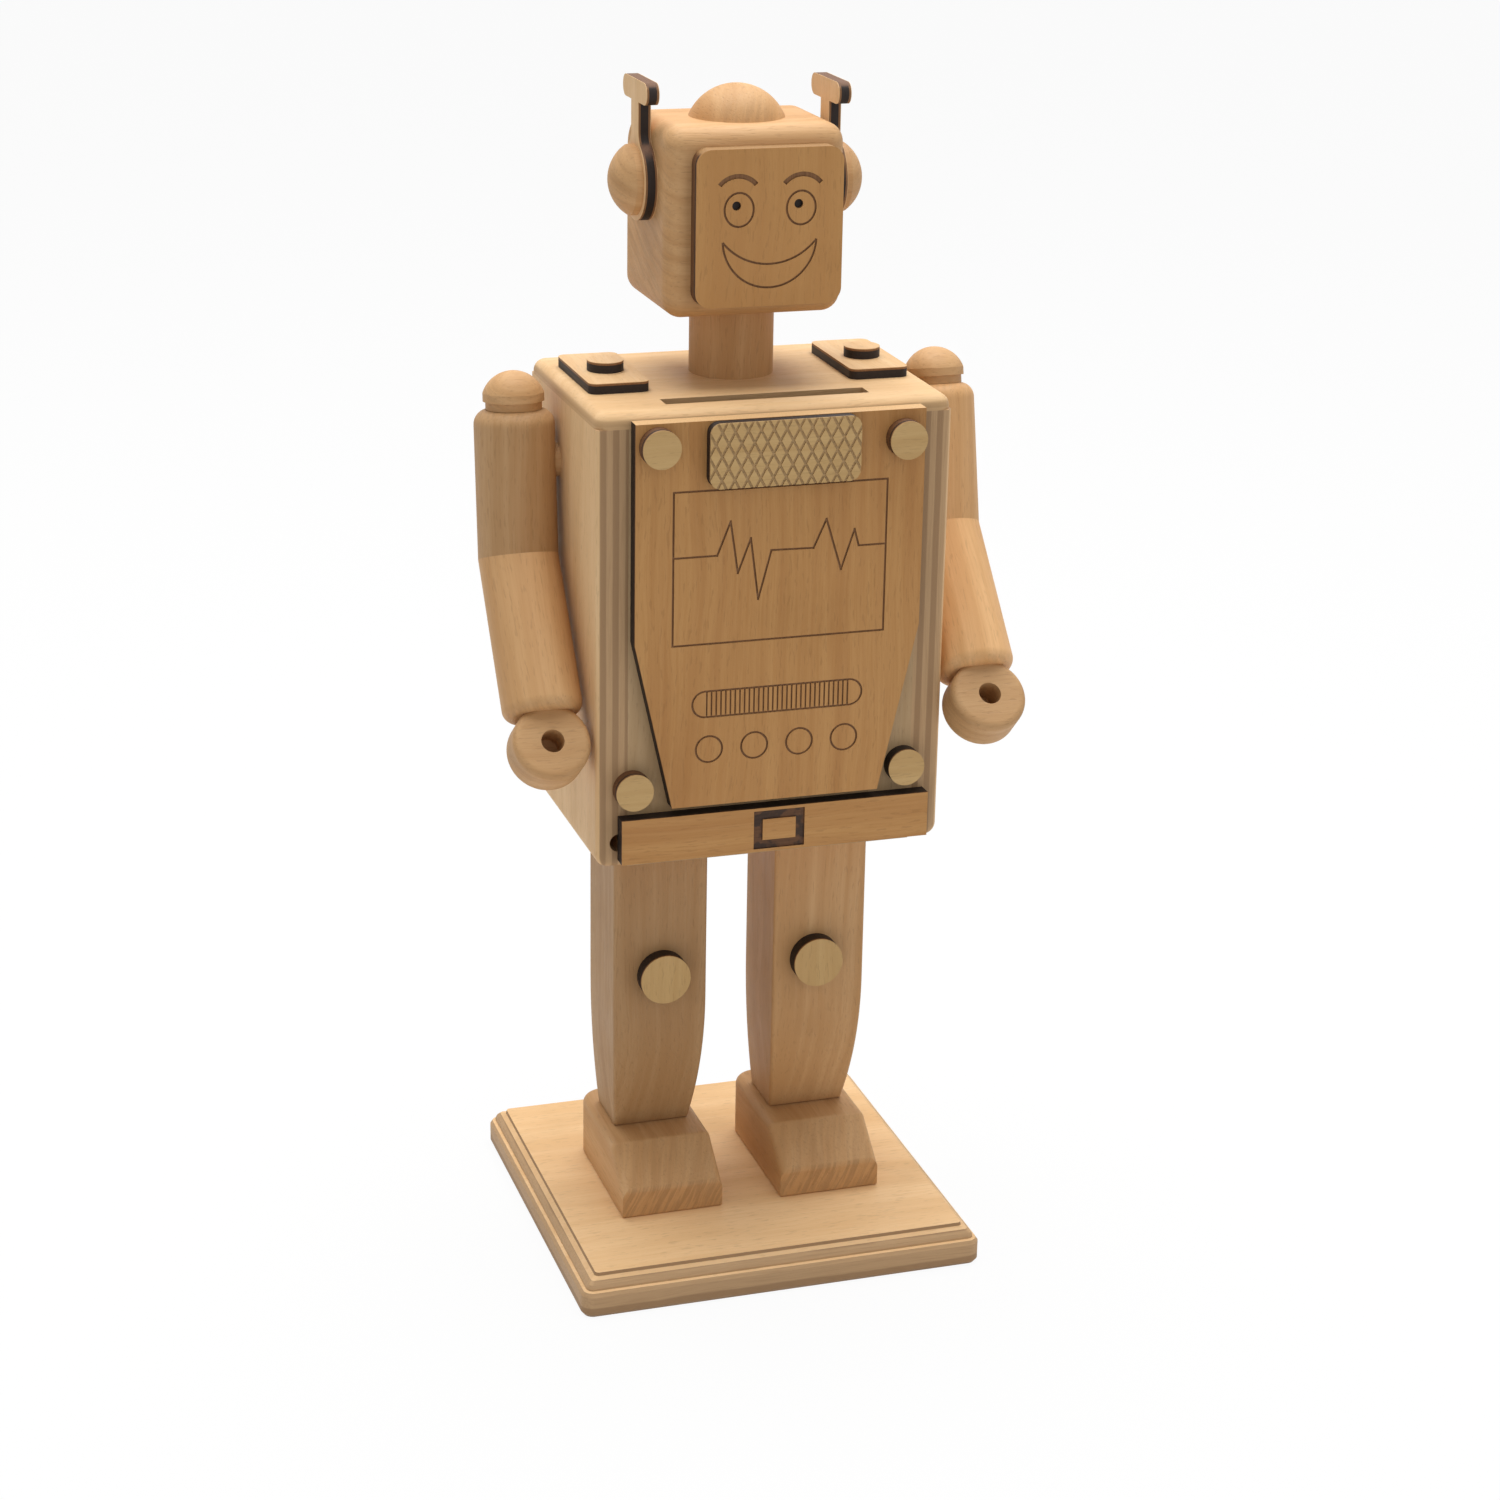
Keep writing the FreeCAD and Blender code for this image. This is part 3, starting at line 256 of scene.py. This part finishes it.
class Grain:
    """The wood's own pattern, laid along a direction.

    A pattern's three numbers say how often it repeats in a mm: along the fibres, across and through them.
    """
    DRIFT = (0.012, 0.03, 0.03)
    BROAD = (0.008, 0.05, 0.05)
    RINGS = (0.010, 0.38, 0.07)
    STREAKS = (0.02, 1.1, 0.10)
    FIBRES = (0.07, 2.4, 2.4)
    FLECKS = (0.30, 2.1, 2.1)
    SOIL = (0.05, 0.05, 0.05)
    DRIFT_MM = 9.0
    LEAN_COSINE = 0.91
    LEAN_SINE = 0.42
    NEAR_Y = 0.8
    BAND_STOPS = (0.33, 0.67)
    FIBRE_STOPS = (0.40, 0.72, 0.0, 0.40)
    FLECK_STOPS = (0.60, 0.70)
    SOIL_STOPS = (0.55, 0.78, 0.0, 0.16)
    ROUGH_STOPS = (0.3, 0.7, 0.50, 0.68)
    PORE_TONE = 0.62
    PORE_SHARE = 0.26
    RING_SHARE = 0.65
    FIBRE_SHARE = 0.6
    PORE_SINK = 0.5

    def __init__(self, shade, direction):
        self.shade = shade
        self.place = shade.position()
        run = Vector(direction).normalized()
        side = run.cross(Y_AXIS if abs(run.y) < self.NEAR_Y else Z_AXIS).normalized()
        u = shade.along(self.place, run)
        v = shade.along(self.place, side)
        w = shade.along(self.place, run.cross(side))
        v = v + (self.pattern(self.DRIFT, u, v, w) - 0.5) * self.DRIFT_MM
        across = v * self.LEAN_COSINE + w * self.LEAN_SINE
        through = w * self.LEAN_COSINE - v * self.LEAN_SINE
        self.broad = self.pattern(self.BROAD, u, v, w)
        self.rings = self.pattern(self.RINGS, u, across, through, detail=3.0, roughness=0.55)
        self.streaks = self.pattern(self.STREAKS, u, across, through, roughness=0.6)
        self.fibres = self.pattern(self.FIBRES, u, v, w, detail=3.0, roughness=0.6)
        self.flecks = shade.ramp(self.pattern(self.FLECKS, u, v, w, detail=1.0), *self.FLECK_STOPS)
        self.soil = self.pattern(self.SOIL, u, v, w, detail=4.0)

    def pattern(self, repeats, u, v, w, detail=2.0, roughness=0.5):
        """Noise that is stretched along the fibres."""
        stretched = [part * repeat for part, repeat in zip((u, v, w), repeats)]
        return self.shade.noise(self.shade.vector(*stretched), detail, roughness)

    def colour(self, light, dark):
        """Light and dark wood in bands, streaked by fibres and flecked by pores."""
        shade = self.shade
        bands = self.rings * self.RING_SHARE + self.broad * (1 - self.RING_SHARE)
        base = shade.mix(shade.ramp(bands, *self.BAND_STOPS), light, dark)
        base = shade.mix(shade.ramp(self.fibres, *self.FIBRE_STOPS), base, dark)
        pore = scaled(dark, self.PORE_TONE)
        base = shade.mix(self.flecks * self.PORE_SHARE, base, pore)
        return shade.mix(shade.ramp(self.soil, *self.SOIL_STOPS), base, pore)

    def roughness(self):
        """Rougher where fibres and soil show."""
        rough = self.fibres * self.FIBRE_SHARE + self.soil * (1 - self.FIBRE_SHARE)
        return self.shade.ramp(rough, *self.ROUGH_STOPS)

    def height(self):
        """Fibres stand up and pores lie low."""
        return self.fibres - self.flecks * self.PORE_SINK


def settings():
    """The wood settings of this scene."""
    return bpy.context.scene.robot_wood


def tone(name):
    """A colour from the settings, as plain numbers."""
    return tuple(getattr(settings(), name))


def shift(start, end, share):
    """A colour part of the way from one to another."""
    return tuple(a + (b - a) * share for a, b in zip(start, end))


def scaled(base, share):
    """A colour made lighter or darker."""
    return tuple(min(1.0, part * share) for part in base)


def scaled_span(depth, shares):
    """Where a step starts and ends, as shares of a depth."""
    return [depth * share for share in shares]


def paint(material, *nodes):
    """Give a material to whole pieces."""
    for node in nodes:
        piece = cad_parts.get(node)
        if piece is None:
            raise RuntimeError("the robot has no piece named " + node)
        piece.data.materials.clear()
        piece.data.materials.append(material)


def solid_wood(name, direction, lighter=1.0, streaked=0.3):
    """Sanded solid wood, with darker end grain where the surface is cut across its fibres."""
    shade = Shade(name)
    grain = Grain(shade, direction)
    # A lighter share other than 1 paints light or shade over the whole piece.
    light = scaled(tone("solid_light"), lighter)
    dark = scaled(tone("solid_dark"), lighter)
    base = grain.colour(light, dark)
    end = shade.ramp(shade.facing(Vector(direction).normalized()), *END_GRAIN_STOPS, 0.0, streaked)
    pale_end = scaled(dark, 1.05)
    deep_end = scaled(dark, 0.66)
    sawn = shade.mix(shade.ramp(grain.streaks, *SAWN_STOPS), pale_end, deep_end)
    base = shade.mix(end, base, sawn)
    return shade.finish(base, grain.roughness(), grain.height(), SOLID_BUMP)


def board(name, direction, thickness_axis, start, layer=1.0, contrast=1.0, lighter=1.0,
          blur=0.12, face_from=0.35, face_to=0.65):
    """Plywood: veneer where it faces along its thickness, and its layers across its edges.

    start is where a layer begins, in mm, and layer is how thick the layers are against the settings.
    """
    shade = Shade(name)
    grain = Grain(shade, direction)
    # A lighter share other than 1 paints light or shade over the whole board's face.
    face = grain.colour(scaled(tone("veneer_light"), lighter), scaled(tone("veneer_dark"), lighter))
    depth = (shade.along(grain.place, thickness_axis) - start) / (settings().ply_layer * layer)
    wander = (grain.soil - 0.5) * PLY_WANDER
    band = shade.node("ShaderNodeMath", {"operation": "PINGPONG"}, {0: depth + wander, 1: 1.0})
    pale = shift(tone("veneer_dark"), tone("ply_pale"), contrast)
    deep = shift(tone("veneer_dark"), tone("ply_deep"), contrast)
    edge = shade.mix(shade.ramp(band, 0.5 - blur, 0.5 + blur), pale, deep)
    edge = shade.mix(shade.ramp(grain.fibres, *PLY_FIBRE_STOPS), edge, deep)
    flat = shade.ramp(shade.facing(thickness_axis), face_from, face_to)
    return shade.finish(shade.mix(flat, edge, face), grain.roughness(), grain.height(), PLY_BUMP)


def burnt_plate(name, direction, depth_of, wood="plate", line="engraved", edge="char",
                figure=1.0, top=None, uneven=0.0):
    """Laser-cut plate: a wood face, burnt lines and burnt edges, told apart by the depth below its face; with
    top, the edges that face up take that tone as painted light and shade from above.
    """
    shade = Shade(name)
    grain = Grain(shade, direction)
    depth = depth_of(shade, grain.place)
    skin = settings().engrave_skin
    pit = settings().engrave_depth
    burn = shade.ramp(depth, *scaled_span(skin, BURN_SPAN))
    ash = shade.ramp(grain.fibres, *ASH_STOPS)
    shallow = shade.mix(ash, tone(line), scaled(tone(line), 0.55))
    blotch = shade.ramp(shade.noise(shade.position(0.35)), *BLOTCH_STOPS, 0.0, uneven)
    shallow = shade.mix(blotch, shallow, tone("char"))
    rim = shade.mix(ash, tone(edge), scaled(tone(edge), 0.45))
    cut = shade.mix(shade.ramp(depth, *scaled_span(pit, RIM_SPAN)), tone("char"), rim)
    deep = shade.ramp(depth, *scaled_span(pit, CHAR_SPAN))
    light = tone(wood + "_light")
    base = grain.colour(light, shift(light, tone(wood + "_dark"), figure))
    base = shade.mix(burn, base, shade.mix(deep, shallow, cut))
    # Cut edges that face up take the top tone in place of their burn: painted light and shade for how light
    # from above shows the tops.
    if top:
        top_light_mask = shade.ramp(shade.turned_to(Z_AXIS), *TOP_LIGHT_STOPS) * burn
        base = shade.mix(top_light_mask, base, shade.mix(ash, tone(top), scaled(tone(top), 0.8)))
    return shade.finish(base, grain.roughness(), grain.height(), PLY_BUMP)


def steel():
    """Dull steel with a fine brushing."""
    shade = Shade("screw_steel")
    brushing = Grain(shade, X_AXIS)
    bright = tone("steel")
    base = shade.mix(brushing.soil, bright, scaled(bright, 0.7))
    return shade.finish(base, brushing.roughness(), brushing.fibres, bump=0.1, depth=0.0001,
                        gloss=STEEL_GLOSS, metallic=1.0)


def rubber():
    """Black rubber, matt and a little dusty."""
    shade = Shade("bung_rubber")
    grit = shade.noise(shade.position(2.5), detail=3.0)
    dust = shade.noise(shade.position(0.15), detail=4.0)
    clean = tone("rubber")
    base = shade.mix(shade.ramp(dust, *DUST_STOPS), clean, scaled(clean, 1.6))
    return shade.finish(base, shade.ramp(grit, *GRIT_STOPS), grit, bump=0.3, depth=0.0002)


def depth_from_front(face_mm):
    """Depth below a face that looks along -Y."""
    return lambda shade, place: shade.along(place, Y_AXIS) - face_mm


def depth_from_top(face_mm):
    """Depth below a face that looks up."""
    return lambda shade, place: face_mm - shade.along(place, Z_AXIS)


def depth_between_sides(node):
    """Depth below the nearer of the two faces of a plate that stands across X."""
    low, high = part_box(node)
    middle = (low.x + high.x) / 2 * MM
    half = (high.x - low.x) / 2 * MM
    return lambda shade, place: half - abs(shade.along(place, X_AXIS) - middle)


def middle_of(node):
    """The middle of a piece's box, in metres."""
    low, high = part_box(node)
    return (low + high) / 2


def front_of(node):
    """Where a piece's front face stands, in mm."""
    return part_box(node)[0].y * MM


def top_of(node):
    """Where a piece's top face stands, in mm."""
    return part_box(node)[1].z * MM


class ROBOT_OT_base(bpy.types.Operator):
    """Finish the base plate and its screws"""
    bl_idname = "robot.base"
    bl_label = "Base"

    def execute(self, context):
        # The base's veneer is made 1.18 times as light as the chest's: painted light standing in for the
        # light falling on it.
        base = board("base_ply", X_AXIS, Z_AXIS, start=-6.4, layer=4.0, contrast=0.75, lighter=1.18,
                     blur=0.04, face_from=0.70, face_to=1.0)
        paint(base, "base_plate")
        paint(steel(), "base_screws")
        return {"FINISHED"}


class ROBOT_OT_legs(bpy.types.Operator):
    """Finish the feet, the legs, their dowels and the knee discs"""
    bl_idname = "robot.legs"
    bl_label = "Legs"

    def execute(self, context):
        # Each leg's wood is scaled by its side's share: painted light and shade for that side.
        for side, lighter in LEG_PAINTED_LIGHT.items():
            paint(solid_wood(side + "_leg_wood", Z_AXIS, lighter), side + "_leg", side + "_leg_dowel")
        paint(solid_wood("foot_wood", Y_AXIS, streaked=0.55), "left_foot", "right_foot")
        knee = burnt_plate("knee_plate", Z_AXIS, depth_from_front(front_of("left_knee_disc")), "disc")
        paint(knee, "left_knee_disc", "right_knee_disc")
        return {"FINISHED"}


class ROBOT_OT_chest(bpy.types.Operator):
    """Finish the boards of the chest"""
    bl_idname = "robot.chest"
    bl_label = "Chest"

    def execute(self, context):
        for node in ("left_side_panel", "right_side_panel"):
            paint(board(node + "_ply", Z_AXIS, X_AXIS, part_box(node)[0].x * MM, contrast=0.75), node)
        # The inner front board's veneer is made 0.66 as light: painted shade for its place in the recess
        # behind the front plate.
        for node, lighter in (("back_panel", 1.0), ("inner_front_board", 0.66)):
            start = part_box(node)[0].y * MM
            paint(board(node + "_ply", Z_AXIS, Y_AXIS, start, lighter=lighter), node)
        for node in ("top_panel", "floor_panel"):
            paint(board(node + "_ply", X_AXIS, Z_AXIS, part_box(node)[0].z * MM, contrast=0.4), node)
        return {"FINISHED"}


class ROBOT_OT_trim(bpy.types.Operator):
    """Finish the laser-cut trim of the chest"""
    bl_idname = "robot.trim"
    bl_label = "Trim"

    def execute(self, context):
        depth = depth_from_front(front_of("front_plate"))
        # The front plate's upward-facing edge is painted pale: painted light from above.
        paint(burnt_plate("front_wood", Z_AXIS, depth, top="veneer_dark"), "front_plate")
        depth = depth_from_front(front_of("belt"))
        paint(burnt_plate("belt_wood", X_AXIS, depth, line="scorched", uneven=0.75), "belt")
        depth = depth_from_front(front_of("speaker_grille"))
        paint(burnt_plate("grille_wood", X_AXIS, depth, "disc", "groove"), "speaker_grille")
        edges = {"upper_left": "scorched", "upper_right": "scorched", "lower_left": "scorched",
                 "lower_right": "char"}
        for place, edge in edges.items():
            depth = depth_from_front(front_of(place + "_disc"))
            paint(burnt_plate(place + "_disc_wood", X_AXIS, depth, "disc", edge=edge), place + "_disc")
        for piece in ("plate", "disc"):
            pair = ["left_shoulder_" + piece, "right_shoulder_" + piece]
            depth = depth_from_top(top_of(pair[0]))
            paint(burnt_plate("shoulder_" + piece + "_wood", Y_AXIS, depth, "veneer"), *pair)
        return {"FINISHED"}


class ROBOT_OT_head(bpy.types.Operator):
    """Finish the head, the face, the ears and the aerials"""
    bl_idname = "robot.head"
    bl_label = "Head"

    def execute(self, context):
        paint(solid_wood("head_wood", X_AXIS), "head_block", "left_ear", "right_ear")
        paint(solid_wood("dome_wood", Y_AXIS), "head_dome")
        paint(solid_wood("neck_wood", Z_AXIS), "neck_post")
        depth = depth_from_front(front_of("face_plate"))
        # The face plate's upward-facing edge takes a mid brown: painted shade on its lit top.
        face = burnt_plate("face_wood", Z_AXIS, depth, edge="scorched", figure=0.5, top="face_top_shade")
        paint(face, "face_plate")
        # The aerials' upward-facing edges are painted scorched brown, not char: painted light from above.
        for node in ("left_aerial", "right_aerial"):
            depth = depth_between_sides(node)
            paint(burnt_plate(node + "_wood", Z_AXIS, depth, "veneer", top="scorched"), node)
        return {"FINISHED"}


class ROBOT_OT_arms(bpy.types.Operator):
    """Finish the arms, the hands and the pins inside them"""
    bl_idname = "robot.arms"
    bl_label = "Arms"

    def execute(self, context):
        # Each piece's wood is scaled by its side's shares: painted light and shade for that side.
        for side, (upper_painted_light, lower_painted_light, hand_painted_light) in ARM_PAINTED_LIGHT.items():
            hand = middle_of(side + "_hand")
            elbow = middle_of(side + "_elbow_dowel")
            shoulder = middle_of(side + "_shoulder_pivot")
            lower = Vector((0, hand.y - elbow.y, hand.z - elbow.z))
            upper = Vector((0, elbow.y - shoulder.y, elbow.z - shoulder.z))
            paint(solid_wood(side + "_upper_arm_wood", upper, upper_painted_light), side + "_upper_arm",
                  side + "_elbow_dowel")
            paint(solid_wood(side + "_cap_wood", X_AXIS), side + "_shoulder_cap")
            paint(solid_wood(side + "_forearm_wood", lower, lower_painted_light), side + "_forearm",
                  side + "_wrist_dowel")
            paint(solid_wood(side + "_hand_wood", X_AXIS, hand_painted_light), side + "_hand",
                  side + "_shoulder_pivot")
        return {"FINISHED"}


class ROBOT_OT_bung(bpy.types.Operator):
    """Finish the rubber bung in the back"""
    bl_idname = "robot.bung"
    bl_label = "Bung"

    def execute(self, context):
        paint(rubber(), "money_bung")
        return {"FINISHED"}


def pale_for_camera(shade, lit, pale, share):
    """Show a plain pale tone to the camera and to reflections, and the lit one to all other rays."""
    seen = shade.node("ShaderNodeLightPath", output="Is Camera Ray")
    seen = seen + shade.node("ShaderNodeLightPath", output="Is Glossy Ray")
    seen = seen + shade.node("ShaderNodeLightPath", output="Is Transmission Ray")
    factor = shade.ramp(seen, 0.0, 1.0, 0.0, share)
    return shade.node("ShaderNodeMixShader", None, {0: factor, 1: lit, 2: pale})


class ROBOT_OT_stage(bpy.types.Operator):
    """Set the floor, the light and the camera"""
    bl_idname = "robot.stage"
    bl_label = "Stage"

    def execute(self, context):
        stage = context.scene.robot_stage
        self.floor(context.scene, stage)
        self.world(context.scene, stage)
        self.lamp(context.scene, stage, "overhead", stage.overhead_place, stage.overhead)
        self.lamp(context.scene, stage, "fill", stage.fill_place, stage.fill)
        self.camera(context.scene, stage)
        context.scene.view_settings.view_transform = "Standard"
        return {"FINISHED"}

    def floor(self, scene, stage):
        """A sheet of pale paper under the robot."""
        mesh = bpy.data.meshes.new("floor")
        reach = stage.floor_reach
        corners = [(-reach, -reach, 0), (reach, -reach, 0), (reach, reach, 0), (-reach, reach, 0)]
        mesh.from_pydata(corners, [], [(0, 1, 2, 3)])
        plane = bpy.data.objects.new("floor", mesh)
        scene.collection.objects.link(plane)
        shade = Shade("floor_paper")
        paper = shade.node("ShaderNodeBsdfDiffuse", None, {"Color": (*stage.floor_tone, 1.0)})
        glow = shade.node("ShaderNodeEmission", None, {"Color": WHITE, "Strength": 1.0})
        mesh.materials.append(shade.surface(pale_for_camera(shade, paper, glow, stage.floor_white)))

    def world(self, scene, stage):
        """Even light all round, in front of plain white."""
        shade = Shade("studio", "worlds", "ShaderNodeOutputWorld")
        sky = shade.node("ShaderNodeBackground", None, {"Color": WHITE, "Strength": stage.ambient})
        paper = shade.node("ShaderNodeBackground", None, {"Color": WHITE, "Strength": 1.0})
        scene.world = shade.surface(pale_for_camera(shade, sky, paper, 1.0))

    def lamp(self, scene, stage, name, spot, power):
        """A square soft box that points at the robot."""
        light = bpy.data.lights.new(name, "AREA")
        light.size = stage.lamp_size
        light.energy = power
        lamp = bpy.data.objects.new(name, light)
        lamp.location = spot
        aim = Vector(stage.lamp_aim) - Vector(spot)
        lamp.rotation_euler = aim.to_track_quat("-Z", "Y").to_euler()
        scene.collection.objects.link(lamp)

    def camera(self, scene, stage):
        """A camera where the picture was taken from."""
        round_by = stage.azimuth
        up_by = stage.elevation
        level = math.cos(up_by)
        back = Vector((math.sin(round_by) * level, -math.cos(round_by) * level, math.sin(up_by)))
        right = Vector((math.cos(round_by), math.sin(round_by), 0))
        up = back.cross(right)
        turn = stage.roll
        tilted_right = right * math.cos(turn) + up * math.sin(turn)
        tilted_up = up * math.cos(turn) - right * math.sin(turn)
        lens = bpy.data.cameras.new("camera")
        lens.lens = stage.lens
        lens.sensor_width = SENSOR_WIDTH
        lens.clip_start = NEAREST
        camera = bpy.data.objects.new("camera", lens)
        basis = Matrix((tilted_right, tilted_up, back)).transposed().to_4x4()
        camera.matrix_world = Matrix.Translation(Vector(stage.eye)) @ basis
        scene.collection.objects.link(camera)
        scene.camera = camera


class ROBOT_PT_panel(bpy.types.Panel):
    """The robot's steps, in order"""
    bl_idname = "ROBOT_PT_panel"
    bl_label = "Wooden robot"
    bl_space_type = "VIEW_3D"
    bl_region_type = "UI"
    bl_category = "Robot"

    def draw(self, context):
        for step in STEPS:
            self.layout.operator(step.bl_idname)


STEPS = (ROBOT_OT_base, ROBOT_OT_legs, ROBOT_OT_chest, ROBOT_OT_trim, ROBOT_OT_head, ROBOT_OT_arms,
         ROBOT_OT_bung, ROBOT_OT_stage)
CLASSES = (RobotWoodSettings, RobotStageSettings, *STEPS, ROBOT_PT_panel)


def register():
    """Make the classes and settings known to Blender."""
    for item in CLASSES:
        bpy.utils.register_class(item)
    bpy.types.Scene.robot_wood = bpy.props.PointerProperty(type=RobotWoodSettings)
    bpy.types.Scene.robot_stage = bpy.props.PointerProperty(type=RobotStageSettings)


def unregister():
    """Take the classes and settings out again."""
    del bpy.types.Scene.robot_stage
    del bpy.types.Scene.robot_wood
    for item in reversed(CLASSES):
        bpy.utils.unregister_class(item)


def main():
    """Register the add-on, then run every step in order."""
    register()
    for step in STEPS:
        group, name = step.bl_idname.split(".")
        getattr(getattr(bpy.ops, group), name)()


if __name__ == "__main__":
    main()
